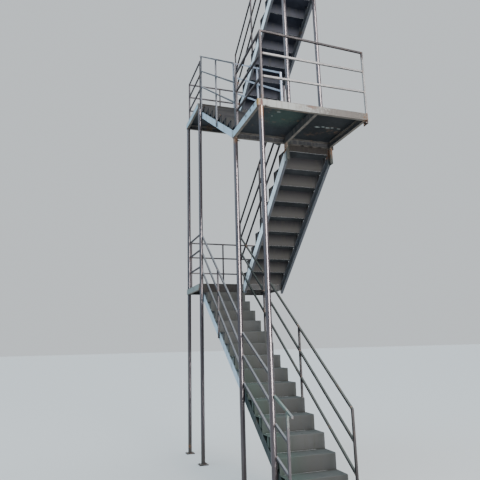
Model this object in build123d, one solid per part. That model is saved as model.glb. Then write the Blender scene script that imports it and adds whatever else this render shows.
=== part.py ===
from build123d import *
import math
import os

# Fire escape stair of painted steel: two lanes side by side against a wall, four flights and four landings.
# Lengths are millimetres. +X runs from the outer post line to the wall, +Y along the wall, +Z up.
# The origin is the centre of the underside of the base plate of the outer front near post.

# Plan: the wall face, and the centre lines of the outer posts along the wall
wall_x = 1760.0
front_near_y = 0.0
front_far_y = 1160.0
rear_near_y = 3495.0
rear_far_y = 4570.0

# Levels of the four landings, measured to the top of their deck plates
rear_landing_1_level = 3366.0
front_landing_1_level = 5586.0
rear_landing_2_level = 7260.0
front_landing_2_level = 9066.0

# Number of risers in each flight, and the going of the one that starts on the ground
flight_1_risers = 17
flight_2_risers = 10
flight_3_risers = 9
flight_4_risers = 9
flight_1_going = 273.0

# Round posts. The upper two stand on the front landing, their plates behind the last step of flight 2
post_diameter = 76.1
post_wall = 5.0
base_plate_side = 170.0
base_plate_thickness = 12.0
upper_plate_side = 78.0
upper_plate_length = 130.0
upper_post_left_x = 986.0
upper_post_right_x = 1605.0

# Rolled channels: their flanges taper from root to tip, with a round root
flange_slope = 0.1
root_radius = 8.0

# Channels of the landings
beam_depth = 106.0
beam_flange_width = 50.0
beam_web = 6.0
beam_flange = 8.5
deck_thickness = 5.0
landing_overhang = 20.0
landing_side_overhang = 50.0
joist_x = 870.0
wall_plate_thickness = 10.0
wall_plate_width = 120.0
wall_plate_height = 160.0

# Channels of the flights: the inner lane has the deeper ones
outer_stringer_depth = 120.0
inner_stringer_depth = 140.0
stringer_flange_width = 50.0
stringer_web = 6.0
stringer_flange = 8.0
hanger_width = 100.0
foot_plate_length = 190.0
foot_plate_thickness = 10.0
foot_plate_width = 90.0

# Folded steps, and the angle cleats that carry their treads
step_thickness = 5.0
step_gap = 0.8
step_bend_radius = 5.0
cleat_width = 40.0
cleat_thickness = 6.0
cleat_share = 0.3

# Lanes
inner_lane_gap = 69.0
wall_gap = 15.0
outer_lane_right_x = 811.0

# Railings of square tube: heights are measured to the middle of each rail,
# from a deck or the line of the noses
rail_side = 28.0
rail_heights = (364.0, 714.0, 1040.0)
flight_rail_heights = (310.0, 650.0, 1000.0)
landing_post_x = 773.0

# How far the rails rise at the corner of the front landing, whose railings are bent up there
corner_lifts = (0.0, 20.0, 60.0)
level_lifts = (0.0, 0.0, 0.0)

# Each rail of a panel on a flight has its own slope:
# how far its lower and its upper end lie above those heights, from the lowest rail to the top one
flight_1_lower_left_lifts = ((-211.0, -344.0), (-180.0, -302.0), (-179.0, -313.0))
flight_1_middle_left_lifts = ((-160.0, -378.0), (-137.0, -320.0), (-135.0, -341.0))
flight_1_upper_left_lifts = ((-245.0, -81.0), (-273.0, -42.0), (-201.0, -36.0))
flight_1_right_lifts = ((-103.0, 34.0), (-78.0, 80.0), (-59.0, 53.0))
flight_2_lifts = ((155.0, -185.0), (254.0, -221.0), (246.0, -135.0))
flight_3_left_lifts = ((40.0, 92.0), (70.0, 124.0), (81.0, 129.0))
flight_3_right_lifts = ((41.0, 60.0), (50.0, 105.0), (44.0, 95.0))
flight_4_lifts = ((181.0, 51.0), (277.0, 71.0), (343.0, 89.0))

# Posts of those panels: on the outer line by their places along the wall,
# on the treads by tread and share of it
left_newel_y = -400.0
upper_left_post_y = 2412.0
flight_1_post_treads = (2, 7, 12)
flight_2_post_treads = (5,)
flight_3_post_treads = (4,)
flight_4_post_treads = (4,)
tread_post_share = 0.15
tread_post_inset = 2.0
low_newel_setback = 175.0
high_newel_setback = 60.0
handrail_overshoot = 130.0
outer_post_reach = 0.8

# Bracket that carries the top landing from the wall
bracket_height = 700.0
bracket_bar = 50.0
bracket_end = 75.0

# Small clearance where a piece meets a round post, and how far from the post's centre a coped rail may start
weld_gap = 0.3
cope_reach = 22.0

post_radius = post_diameter / 2
outer_face_x = post_radius + weld_gap
outer_rail_x = outer_face_x - rail_side
inner_lane_left_x = outer_lane_right_x + inner_lane_gap
inner_lane_right_x = wall_x - wall_gap
right_rail_x = outer_lane_right_x - tread_post_inset - rail_side
left_rail_x = inner_lane_left_x + tread_post_inset
rear_edge_y = rear_near_y - landing_overhang
front_edge_y = front_far_y + landing_overhang
front_y0 = front_near_y - landing_overhang
rear_y1 = rear_far_y + landing_overhang
outer_x = -landing_side_overhang
upper_post_y = front_edge_y - upper_plate_side / 2 - step_gap
run = rear_edge_y - front_edge_y
along_x = (1, 0, 0)
along_y = (0, 1, 0)
upward = (0, 0, 1)


def block(x0, x1, y0, y1, z0, z1):
    """A box between two corners."""
    middle = ((x0 + x1) / 2, (y0 + y1) / 2, (z0 + z1) / 2)
    return Pos(*middle) * Box(abs(x1 - x0), abs(y1 - y0), abs(z1 - z0))


def side_plate(section, x0, x1):
    """A flat shape drawn in the plane of Y and Z and given the thickness from x0 to x1."""
    low, high = sorted((x0, x1))
    return extrude(Plane.YZ.offset(low) * section, amount=high - low, dir=along_x)


def outline(*points):
    return make_face(Polyline(*points, close=True))


def upright_tube(x, y, z0, z1):
    """A round post between two heights."""
    outside = Cylinder(post_radius, z1 - z0)
    bore = Cylinder(post_radius - post_wall, z1 - z0)
    return Pos(x, y, (z0 + z1) / 2) * (outside - bore)


def channel(start, direction, length, size, side, across=along_x):
    """A rolled channel. start is on the outer face of its web, half way up; its flanges point across."""
    depth, width, web, flange = size
    half = depth / 2
    taper = flange_slope * (width - web) / 2
    tip = half - flange + taper
    root = half - flange - taper
    section = outline(
        (0, -half), (side * width, -half), (side * width, -tip), (side * web, -root),
        (side * web, root), (side * width, tip), (side * width, half), (0, half))
    section = fillet(section.vertices().group_by(Axis.X)[1], root_radius)
    plane = Plane(origin=start, x_dir=across, z_dir=direction)
    return extrude(plane * section, amount=length, dir=direction)


def save(shape, node):
    shape.label = node
    export_step(shape, "parts/" + node + ".step")


# Posts

def ground_post(y, top):
    """A post of the outer line with its square base plate on the ground."""
    half = base_plate_side / 2
    plate = block(-half, half, y - half, y + half, 0, base_plate_thickness)
    return plate + upright_tube(0, y, base_plate_thickness, top)


def upper_post(x):
    """A post that stands on the front landing and carries the landing above."""
    low = front_landing_1_level
    high = front_landing_2_level - deck_thickness - beam_depth
    half = upper_plate_length / 2
    edge = upper_plate_side / 2
    near = upper_post_y - edge
    far = upper_post_y + edge
    plate = block(x - half, x + half, near, far, low, low + base_plate_thickness)
    return plate + upright_tube(x, upper_post_y, low + base_plate_thickness, high)


# Landings

def landing_frame(x0, y0, y1, level, with_joist):
    """Channels all round a landing, flanges inward, with wall plates at the ends of the cross beams."""
    size = (beam_depth, beam_flange_width, beam_web, beam_flange)
    top = level - deck_thickness
    middle = top - beam_depth / 2
    end = wall_x - wall_plate_thickness
    frame = channel((x0, y0, middle), along_x, end - x0, size, 1, along_y)
    frame += channel((x0, y1, middle), along_x, end - x0, size, -1, along_y)
    sides = [(x0, 1), (end, -1)]
    if with_joist:
        sides.append((joist_x, 1))
    for x, side in sides:
        frame += channel((x, y0 + beam_web, middle), along_y, y1 - y0 - 2 * beam_web, size, side)
    for y in (y0, y1 - wall_plate_width):
        frame += block(end, wall_x, y, y + wall_plate_width, top - wall_plate_height, top)
    return frame


def landing_deck(x0, y0, y1, level):
    """The deck plate that lies on a landing's channels."""
    return block(x0, wall_x, y0, y1, level - deck_thickness, level)


def clear_of_posts(shape, places, z0, z1):
    """Cut a shape where round posts of the outer line pass it."""
    for y in places:
        shape -= Pos(0, y, (z0 + z1) / 2) * Cylinder(post_radius + weld_gap, z1 - z0)
    return shape


def wall_bracket(y0, level, reach_x):
    """A triangle of flat bar from the wall to the outer edge of the top landing."""
    top = level - deck_thickness - beam_depth
    low = top - bracket_height
    inner = wall_x - wall_plate_thickness
    leg_top = level - deck_thickness - wall_plate_height
    leg = block(inner, wall_x, y0, y0 + bracket_bar, low, leg_top)
    strut = outline((inner, low), (inner, low + bracket_end), (reach_x + bracket_end, top), (reach_x, top))
    return leg + extrude(Plane.XZ.offset(-y0) * strut, amount=bracket_bar, dir=along_y)


# Flights

class Flight:
    """The geometry of one flight. Along is the direction of climbing, +1 away from the front or -1 back."""

    def __init__(self, start_y, along, low, high, risers, going, left_x, right_x, depth):
        self.start_y = start_y
        self.along = along
        self.low = low
        self.high = high
        self.risers = risers
        self.going = going
        self.rise = (high - low) / risers
        self.slope = self.rise / going
        self.steepness = math.sqrt(1 + self.slope ** 2)
        self.left_x = left_x
        self.right_x = right_x
        self.depth = depth
        self.drop = depth * self.steepness
        self.length = going * (risers - 1)

    def y(self, distance):
        """The place along Y of a distance climbed from the first riser."""
        return self.start_y + self.along * distance

    def distance(self, y):
        """The distance climbed at a place along Y."""
        return (y - self.start_y) * self.along

    def nose(self, distance):
        """The height of the line through the noses."""
        return self.low + self.rise + distance * self.slope

    def bearing(self, distance):
        """The height of the line on which the steps bear, the top of the stringers."""
        return self.low - step_thickness + distance * self.slope

    def floor(self, distance):
        """The height of what one stands on: a landing before and after the flight, a tread on it."""
        number = math.floor(distance / self.going) + 1
        return self.low + self.rise * min(max(number, 0), self.risers)

    def tread_post(self, number):
        """The distance climbed at a railing post that stands on a tread."""
        return (number - 1 + tread_post_share) * self.going


def folded_step(flight, number):
    """One step: a riser bent into a tread, with an angle cleat at each end that stands on the stringer."""
    start = flight.going * (number - 1)
    end = start + flight.going - step_gap
    if number == flight.risers - 1:
        end -= step_thickness + step_gap
    top = flight.low + flight.rise * number
    foot = top - flight.rise + step_gap
    under = top - step_thickness
    inside = start + step_thickness
    nose = (flight.y(start), top, 0)
    bend = (flight.y(inside), under, 0)
    section = outline(
        (flight.y(start), foot), nose[:2], (flight.y(end), top),
        (flight.y(end), under), bend[:2], (flight.y(inside), foot))
    section = fillet(section.vertices().sort_by_distance(nose)[0], step_bend_radius + step_thickness)
    section = fillet(section.vertices().sort_by_distance(bend)[0], step_bend_radius)
    step = side_plate(section, flight.left_x, flight.right_x)
    near = start + flight.going * cleat_share
    for x, inward in ((flight.left_x, 1), (flight.right_x, -1)):
        back = x + inward * cleat_thickness
        thin = back + inward * cleat_thickness
        wide = back + inward * cleat_width
        for far, front in ((near + cleat_width, thin), (near + cleat_thickness, wide)):
            leg = outline(
                (flight.y(near), under), (flight.y(far), under),
                (flight.y(far), flight.bearing(far)), (flight.y(near), flight.bearing(near)))
            step += side_plate(leg, back, front)
    return step


def last_riser(flight):
    """The riser above the last tread, a plate on the edge of the landing."""
    foot = flight.low + flight.rise * (flight.risers - 1) + step_gap
    face = flight.y(flight.length - step_thickness)
    return block(flight.left_x, flight.right_x, face, flight.y(flight.length), foot, flight.high)


def folded_steps(flight):
    steps = [folded_step(flight, number) for number in range(1, flight.risers)]
    return Compound(steps + [last_riser(flight)])


def stringer(flight, web_x, inward, on_ground):
    """A channel under the ends of the steps, cut upright at both ends, with a hanger below the landing."""
    length = flight.length
    extra = flight.depth
    side_x = web_x + inward * max(stringer_flange_width, foot_plate_width)
    size = (flight.depth, stringer_flange_width, stringer_web, stringer_flange)
    start = (web_x, flight.y(-extra), flight.bearing(-extra) - flight.drop / 2)
    slope = (0, flight.along, flight.slope)
    beam = channel(start, slope, (length + 2 * extra) * flight.steepness, size, inward)
    foot = flight.low if on_ground else flight.low - 2 * flight.drop
    beam &= block(web_x, side_x, flight.y(0), flight.y(length), foot, flight.high)

    hanger_foot = flight.bearing(length) - flight.drop
    hanger_top = flight.high - deck_thickness - beam_depth
    hanger_start = (web_x, flight.y(length + hanger_width / 2), hanger_foot)
    size = (hanger_width, stringer_flange_width, stringer_web, stringer_flange)
    beam += channel(hanger_start, upward, hanger_top - hanger_foot, size, inward)
    if on_ground:
        plate_end = web_x + inward * foot_plate_width
        plate_y = flight.y(foot_plate_length)
        plate_top = foot + foot_plate_thickness
        beam -= block(web_x, side_x, flight.y(0), plate_y, foot, plate_top)
        beam += block(web_x, plate_end, flight.y(step_thickness + step_gap), plate_y, foot, plate_top)
    return beam


# Railings

def sloping_bar(y0, z0, y1, z1, x0):
    """A rail between two points, centred on them, with upright ends."""
    half = rail_side / 2 * math.sqrt(1 + ((z1 - z0) / (y1 - y0)) ** 2)
    section = outline((y0, z0 - half), (y1, z1 - half), (y1, z1 + half), (y0, z0 + half))
    return side_plate(section, x0, x0 + rail_side)


def upright_bar(x0, y0, z0, z1):
    """A thin railing post from its low corner."""
    return block(x0, x0 + rail_side, y0, y0 + rail_side, z0, z1)


def side_railing(x0, y0, y1, level, far_post=True, lifts=level_lifts):
    """A railing along Y with a thin post at each end, or none at the far end where a newel stands.
    lifts raise the near ends of the rails."""
    top = level + rail_heights[-1]
    railing = upright_bar(x0, y0, level, top + lifts[-1])
    if far_post:
        railing += upright_bar(x0, y1 - rail_side, level, top)
    for height, lift in zip(rail_heights, lifts):
        railing += sloping_bar(y0, level + height + lift, y1, level + height, x0)
    return railing


def cross_railing(y0, x0, x1, post_places, level, lifts=level_lifts):
    """A railing along X with thin posts at x0 and at the given places. lifts raise the rails at x0."""
    half = rail_side / 2
    railing = Part()
    for height, lift in zip(rail_heights, lifts):
        z = level + height
        section = outline((x0, z + lift - half), (x1, z - half), (x1, z + half), (x0, z + lift + half))
        railing += extrude(Plane.XZ.offset(-y0) * section, amount=rail_side, dir=along_y)
    for x in (x0,) + post_places:
        top = level + rail_heights[-1] + lifts[-1] * (x1 - x) / (x1 - x0)
        railing += upright_bar(x, y0, level, top)
    return railing


def flight_railing(flight, x0, start, end, posts, standing, lifts, overshoot=0.0):
    """Three rails along a flight. start, end and posts are distances climbed, and overshoot is how far the
    top rail runs on below the start. Posts stand on treads and landings, or else on the stringer's face."""
    half = rail_side / 2

    def rail_height(rail, distance):
        low, high = lifts[rail]
        lift = low + (high - low) * (distance - start) / (end - start)
        return flight.nose(distance) + flight_rail_heights[rail] + lift

    railing = Part()
    for rail, more in enumerate((0.0, 0.0, overshoot)):
        first = start - more
        low = rail_height(rail, first)
        high = rail_height(rail, end)
        railing += sloping_bar(flight.y(first), low, flight.y(end), high, x0)
    for place in posts:
        foot = flight.floor(place) if standing else flight.bearing(place) - flight.drop * outer_post_reach
        railing += upright_bar(x0, flight.y(place) - half, foot, rail_height(-1, place))
    return railing


def standing_railing(flight, x0, treads, lifts, low_newel, high_newel):
    """A flight railing on the treads, with a newel on the landing at its low or high end where set."""
    half = rail_side / 2
    posts = [flight.tread_post(number) for number in treads]
    if low_newel:
        posts.insert(0, -low_newel_setback)
    if high_newel:
        posts.append(flight.length + high_newel_setback)
    return flight_railing(flight, x0, posts[0] - half, posts[-1] + half, posts, True, lifts)


os.makedirs("parts", exist_ok=True)

flight_1 = Flight(
    rear_edge_y - flight_1_going * (flight_1_risers - 1), 1, 0.0, rear_landing_1_level,
    flight_1_risers, flight_1_going, outer_face_x, outer_lane_right_x, outer_stringer_depth)
flight_2 = Flight(
    rear_edge_y, -1, rear_landing_1_level, front_landing_1_level,
    flight_2_risers, run / (flight_2_risers - 1), inner_lane_left_x, inner_lane_right_x, inner_stringer_depth)
flight_3 = Flight(
    front_edge_y, 1, front_landing_1_level, rear_landing_2_level,
    flight_3_risers, run / (flight_3_risers - 1), outer_face_x, outer_lane_right_x, outer_stringer_depth)
flight_4 = Flight(
    rear_edge_y, -1, rear_landing_2_level, front_landing_2_level,
    flight_4_risers, run / (flight_4_risers - 1), inner_lane_left_x, inner_lane_right_x, inner_stringer_depth)

# Posts
front_top = front_landing_1_level - deck_thickness - beam_depth
rear_top = rear_landing_2_level - deck_thickness - beam_depth
save(ground_post(front_near_y, front_top), "front_near_post")
save(ground_post(front_far_y, front_top), "front_far_post")
save(ground_post(rear_near_y, rear_top), "rear_near_post")
save(ground_post(rear_far_y, rear_top), "rear_far_post")
save(upper_post(upper_post_left_x), "upper_left_post")
save(upper_post(upper_post_right_x), "upper_right_post")

# Landings
landings = {
    "rear_landing_1": (outer_x, rear_edge_y, rear_y1, rear_landing_1_level, True),
    "front_landing_1": (outer_x, front_y0, front_edge_y, front_landing_1_level, True),
    "rear_landing_2": (outer_x, rear_edge_y, rear_y1, rear_landing_2_level, True),
    "front_landing_2": (inner_lane_left_x, front_y0, front_edge_y, front_landing_2_level, False),
}
for name, (x0, y0, y1, level, with_joist) in landings.items():
    frame = landing_frame(x0, y0, y1, level, with_joist)
    deck = landing_deck(x0, y0, y1, level)
    if name == "rear_landing_1":
        frame = clear_of_posts(frame, (rear_near_y, rear_far_y), level - 2 * beam_depth, level)
        deck = clear_of_posts(deck, (rear_near_y, rear_far_y), level - beam_depth, level + beam_depth)
    save(frame, name + "_frame")
    save(deck, name + "_deck")
save(wall_bracket(front_y0, front_landing_2_level, inner_lane_left_x), "front_landing_2_bracket")

# Flights
for number, flight in enumerate((flight_1, flight_2, flight_3, flight_4), start=1):
    name = "flight_" + str(number)
    on_ground = number == 1
    save(folded_steps(flight), name + "_steps")
    save(stringer(flight, flight.left_x, 1, on_ground), name + "_left_stringer")
    save(stringer(flight, flight.right_x, -1, on_ground), name + "_right_stringer")

# Railings of the landings
end_post_x = wall_x - rail_side
far_rail_y = rear_far_y - rail_side / 2
save(side_railing(outer_rail_x, rear_near_y + outer_face_x, rear_far_y - outer_face_x,
                  rear_landing_1_level), "rear_landing_1_side_railing")
save(cross_railing(far_rail_y, outer_face_x, wall_x, (landing_post_x, end_post_x),
                   rear_landing_1_level), "rear_landing_1_end_railing")
save(side_railing(outer_rail_x, front_y0 + rail_side, front_far_y - rail_side,
                  front_landing_1_level, True, corner_lifts), "front_landing_1_side_railing")
save(cross_railing(front_y0, outer_rail_x, wall_x, (end_post_x,),
                   front_landing_1_level, corner_lifts), "front_landing_1_front_railing")
save(side_railing(outer_rail_x, rear_near_y + rail_side, rear_y1 - rail_side,
                  rear_landing_2_level), "rear_landing_2_side_railing")
save(cross_railing(rear_y1 - rail_side, outer_rail_x, wall_x, (landing_post_x, end_post_x),
                   rear_landing_2_level), "rear_landing_2_end_railing")
save(side_railing(left_rail_x, front_y0 + rail_side, front_edge_y - high_newel_setback - rail_side / 2,
                  front_landing_2_level, False), "front_landing_2_side_railing")
save(cross_railing(front_y0, inner_lane_left_x, wall_x, (end_post_x,),
                   front_landing_2_level), "front_landing_2_front_railing")

# Railings of the first flight: outside, three panels run between the posts
ends = (front_near_y, front_far_y, rear_near_y)
panels = {
    "upper": (front_far_y + cope_reach, rear_near_y - cope_reach, (upper_left_post_y,),
              flight_1_upper_left_lifts, 0.0),
    "middle": (front_near_y + cope_reach, front_far_y - cope_reach, (),
               flight_1_middle_left_lifts, 0.0),
    "lower": (left_newel_y - rail_side / 2, front_near_y - cope_reach, (left_newel_y,),
              flight_1_lower_left_lifts, handrail_overshoot),
}
for name, (y0, y1, posts, lifts, overshoot) in panels.items():
    places = [flight_1.distance(y) for y in posts]
    start = flight_1.distance(y0)
    end = flight_1.distance(y1)
    rails = flight_railing(flight_1, outer_rail_x, start, end, places, False, lifts, overshoot)
    save(clear_of_posts(rails, ends, 0, rear_top), "flight_1_" + name + "_left_railing")
save(standing_railing(flight_1, right_rail_x, flight_1_post_treads, flight_1_right_lifts, False, True),
     "flight_1_right_railing")

# Railings of the other flights
save(standing_railing(flight_2, left_rail_x, flight_2_post_treads, flight_2_lifts, True, True),
     "flight_2_left_railing")
flight_3_end = flight_3.distance(rear_near_y - outer_face_x)
outer_posts = (rail_side / 2, flight_3_end / 2, flight_3_end - rail_side / 2)
save(flight_railing(flight_3, outer_rail_x, 0, flight_3_end, outer_posts, False, flight_3_left_lifts),
     "flight_3_left_railing")
save(standing_railing(flight_3, right_rail_x, flight_3_post_treads, flight_3_right_lifts, True, True),
     "flight_3_right_railing")
save(standing_railing(flight_4, left_rail_x, flight_4_post_treads, flight_4_lifts, True, True),
     "flight_4_left_railing")
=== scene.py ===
import math
import random

import bpy
from mathutils import Matrix, Vector


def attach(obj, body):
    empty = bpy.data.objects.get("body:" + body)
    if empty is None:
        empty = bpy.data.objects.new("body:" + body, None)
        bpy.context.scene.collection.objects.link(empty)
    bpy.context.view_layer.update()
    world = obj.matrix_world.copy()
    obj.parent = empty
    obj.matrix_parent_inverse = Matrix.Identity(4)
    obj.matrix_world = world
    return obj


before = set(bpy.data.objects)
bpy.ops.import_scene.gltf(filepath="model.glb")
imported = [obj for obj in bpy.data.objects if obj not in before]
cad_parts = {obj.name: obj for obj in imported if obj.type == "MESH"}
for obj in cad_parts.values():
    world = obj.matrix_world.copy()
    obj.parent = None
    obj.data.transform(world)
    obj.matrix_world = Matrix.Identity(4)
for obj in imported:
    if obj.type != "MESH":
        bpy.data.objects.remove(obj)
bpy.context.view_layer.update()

# Fire escape stair, in metres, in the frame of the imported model. X runs from the outer posts to the wall, and
# Y from the front to the rear. These values repeat those of the solids.
WALL_X = 1.760
WALL_FACE = WALL_X - 0.010
SIDE_X = -0.050
INNER_X = 0.880
FRONT_Y0 = -0.020
FRONT_EDGE_Y = 1.180
REAR_EDGE_Y = 3.475
REAR_Y1 = 4.590
FRONT_MIDDLE = (FRONT_Y0 + FRONT_EDGE_Y) / 2
FRONT_HALF = (FRONT_EDGE_Y - FRONT_Y0) / 2
REAR_MIDDLE = (REAR_EDGE_Y + REAR_Y1) / 2
REAR_HALF = (REAR_Y1 - REAR_EDGE_Y) / 2
POSTS_Y = (0.0, 1.160, 3.495, 4.570)
POST_RADIUS = 0.03805
UPPER_POSTS_X = (0.986, 1.605)
UPPER_POST_Y = FRONT_EDGE_Y - 0.039 - 0.0008
PLATE_TOP = 0.012
DECK = 0.005
BEAM = 0.106
RAIL_HALF = 0.014

# Levels of the first rear and front landings and of the second ones
R1, F1, R2, F2 = 3.366, 5.586, 7.260, 9.066

# Each landing's level, outer side and two edges
LANDINGS = {
    "rear_landing_1": (R1, SIDE_X, REAR_EDGE_Y, REAR_Y1),
    "front_landing_1": (F1, SIDE_X, FRONT_Y0, FRONT_EDGE_Y),
    "rear_landing_2": (R2, SIDE_X, REAR_EDGE_Y, REAR_Y1),
    "front_landing_2": (F2, INNER_X, FRONT_Y0, FRONT_EDGE_Y),
}


class Flight:
    """A straight flight: its start, direction, levels and steps, and its stringers' outer faces."""

    def __init__(self, start_y, along, low, high, risers, going, lane):
        self.start_y = start_y
        self.along = along
        self.low = low
        self.high = high
        self.risers = risers
        self.going = going
        self.left, self.right = lane
        self.rise = (high - low) / risers
        self.run = going * (risers - 1)

    def y(self, climbed):
        return self.start_y + self.along * climbed


OUTER_LANE = (0.03835, 0.811)
INNER_LANE = (INNER_X, 1.745)
STRINGER_WEBS = OUTER_LANE + INNER_LANE
FIRST_GOING = 0.273
UPPER_RUN = 2.295
FLIGHTS = {
    "flight_1": Flight(REAR_EDGE_Y - 16 * FIRST_GOING, 1, 0.0, R1, 17, FIRST_GOING, OUTER_LANE),
    "flight_2": Flight(REAR_EDGE_Y, -1, R1, F1, 10, UPPER_RUN / 9, INNER_LANE),
    "flight_3": Flight(FRONT_EDGE_Y, 1, F1, R2, 9, UPPER_RUN / 8, OUTER_LANE),
    "flight_4": Flight(REAR_EDGE_Y, -1, R2, F2, 9, UPPER_RUN / 8, INNER_LANE),
}


def linear(red, green, blue):
    """A colour given from 0 to 255 as the shader wants it."""
    return tuple((c / 255) ** 2.2 for c in (red, green, blue)) + (1.0,)


# Places of rust as point, radius and amount
POST_SPOTS = [((0.0, y, 0.0), 0.22, 0.16) for y in POSTS_Y]
POST_SPOTS += [((0.0, y, F1 - 0.12), 0.22, 0.16) for y in POSTS_Y[:2]]
FRAME_SPOTS = [
    ((SIDE_X, 1.17, F1 - 0.05), 0.12, 0.12),
    ((SIDE_X, 3.475, R1 - 0.08), 0.20, 0.15),
    ((SIDE_X, 3.475, R2 - 0.05), 0.10, 0.10),
    ((1.72, FRONT_Y0, F1 - 0.06), 0.10, 0.16),
]
STRINGER_SPOTS = [
    ((INNER_X, FRONT_EDGE_Y, F1 - 0.22), 0.12, 0.18),
    ((1.72, FRONT_EDGE_Y, F1 - 0.22), 0.14, 0.2),
]
RAIL_SPOTS = [((0.02, y, F1 + 0.02), 0.08, 0.2) for y in (0.0, 1.14)]

# Stains and painted shadows as point, radii and colour
POST_STAINS = [
    ((0.0, 0.0, F1 - 0.20), (0.10, 0.10, 0.16)),
    ((0.0, 1.16, F1 - 0.16), (0.08, 0.08, 0.07)),
]
SIDE_BOLTS = ((0.147, F1 - 0.030), (0.297, F1 - 0.036), (0.490, F1 - 0.041))
FRAME_STAINS_AND_SHADOWS = [
    # Painted shadows of the gaps under the first front landing's rear beam
    ((1.215, 1.175, F1 - 0.111), (0.050, 0.05, 0.012), linear(16, 16, 18)),
    ((1.370, 1.175, F1 - 0.111), (0.060, 0.05, 0.012), linear(16, 16, 18)),
    ((1.545, 1.175, F1 - 0.111), (0.070, 0.05, 0.012), linear(20, 16, 16)),
    ((SIDE_X, FRONT_Y0, F1 - 0.04), (0.05, 0.10, 0.13), linear(146, 112, 62)),
    ((SIDE_X + 0.055, FRONT_Y0, F1 - 0.07), (0.03, 0.03, 0.11), linear(96, 54, 46)),
    ((SIDE_X + 0.01, FRONT_Y0, F1 - 0.112), (0.06, 0.06, 0.02), linear(84, 50, 38)),
]
FRAME_STAINS_AND_SHADOWS += [((SIDE_X, y, z), (0.02, 0.030, 0.030), linear(66, 70, 74)) for y, z in SIDE_BOLTS]
FRAME_STAINS_AND_SHADOWS += [
    # A painted shadow under the front fascia beside the corner post
    ((0.07, FRONT_Y0, F1 - 0.108), (0.07, 0.03, 0.022), linear(30, 28, 26)),
    ((0.825, FRONT_Y0, F1 - 0.02), (0.13, 0.04, 0.05), linear(108, 82, 70)),
    ((1.73, FRONT_Y0, F1 - 0.06), (0.10, 0.05, 0.09), linear(92, 84, 76)),
    ((1.45, FRONT_Y0, F1 - 0.07), (0.80, 0.05, 0.16), linear(94, 88, 83)),
]
STRINGER_STAINS = [
    ((INNER_X, FRONT_EDGE_Y - 0.05, F1 - 0.16), (0.03, 0.09, 0.10), linear(150, 128, 112)),
    ((1.745, FRONT_EDGE_Y - 0.05, F1 - 0.20), (0.07, 0.09, 0.16), linear(128, 96, 74)),
]

# Lime below the first front deck as x, y and size, and a small hole in a tread of the first flight, shown only
# as a dark spot of painted shade
LIME_SPOTS = [
    (0.413, 0.298, 0.05), (0.36, 0.45, 0.03), (1.219, 0.617, 0.07), (1.314, 0.59, 0.05),
    (1.40, 0.60, 0.06), (1.476, 0.585, 0.05), (1.60, 0.59, 0.05), (1.708, 0.60, 0.04),
]
TREAD_HOLE = (0.51, 0.254, 0.99)


# Shader nodes

class Nodes:
    """A tree of shader nodes that are added one by one."""

    def __init__(self, tree):
        self.tree = tree

    def add(self, kind, inputs=None, **settings):
        made = self.tree.nodes.new("ShaderNode" + kind)
        for key, value in settings.items():
            setattr(made, key, value)
        for key, value in (inputs or {}).items():
            self.put(made.inputs[key], value)
        return made

    def put(self, socket, value):
        if isinstance(value, bpy.types.NodeSocket):
            self.tree.links.new(value, socket)
        else:
            socket.default_value = value

    def maths(self, operation, a, b=0.0):
        return self.add("Math", {0: a, 1: b}, operation=operation).outputs[0]

    def times(self, *values):
        out = values[0]
        for value in values[1:]:
            out = self.maths("MULTIPLY", out, value)
        return out

    def between(self, value, low, high, to_low=0.0, to_high=1.0):
        """The value stretched from one range to another and clamped there."""
        inputs = {"Value": value, "From Min": low, "From Max": high, "To Min": to_low, "To Max": to_high}
        return self.add("MapRange", inputs).outputs[0]

    def vector(self, operation, inputs, output=0):
        return self.add("VectorMath", inputs, operation=operation).outputs[output]

    def mix(self, share, a, b):
        return self.add("Mix", {0: share, 6: a, 7: b}, data_type="RGBA").outputs[2]

    def axis(self, vector, name):
        return self.add("SeparateXYZ", {0: vector}).outputs[name]


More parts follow.
